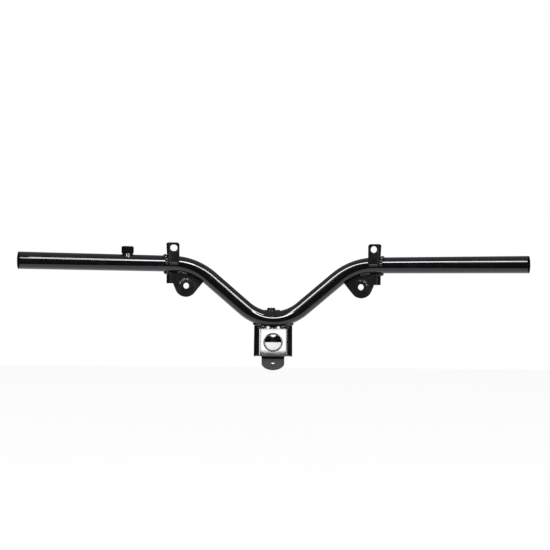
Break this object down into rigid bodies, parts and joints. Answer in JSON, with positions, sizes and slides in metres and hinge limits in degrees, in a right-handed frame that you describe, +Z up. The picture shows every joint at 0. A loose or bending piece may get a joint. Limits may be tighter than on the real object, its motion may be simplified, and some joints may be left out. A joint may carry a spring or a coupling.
{
  "type": "motorcycle handlebar",
  "caption": "Bare vee-shaped steel handlebar with a pressed stem bracket, cover tabs and ears and a mirror nut, welded and painted gloss black.",
  "frame": {"origin": "centre of the stem bolt, midway between the bracket's side walls", "axes": "+X towards the bar's right end, +Y forwards away from the rider, +Z up"},
  "size_m": [0.6664, 0.1504, 0.1779],
  "materials": {
    "painted_steel": "gloss black enamel",
    "painted_weld": "gloss black enamel over rippled weld"
  },
  "bodies": {
    "root": {"bar_tube": "painted_steel", "stem_bracket": "painted_steel", "stem_guide_plate": "painted_steel", "stem_back_plate": "painted_steel", "stem_weld_left": "painted_weld", "stem_weld_right": "painted_weld", "stem_tack_weld": "painted_weld", "cover_stay": "painted_steel", "cover_stay_nut": "painted_steel", "cover_stay_weld": "painted_weld", "upper_tab_left": "painted_steel", "upper_tab_right": "painted_steel", "tab_side_weld_left": "painted_weld", "tab_side_weld_right": "painted_weld", "tab_under_weld_left": "painted_weld", "tab_under_weld_right": "painted_weld", "lower_ear_left": "painted_steel", "lower_ear_right": "painted_steel", "ear_weld_left": "painted_weld", "ear_weld_right": "painted_weld", "mirror_nut": "painted_steel", "mirror_nut_weld": "painted_weld"}
  },
  "joints": []
}
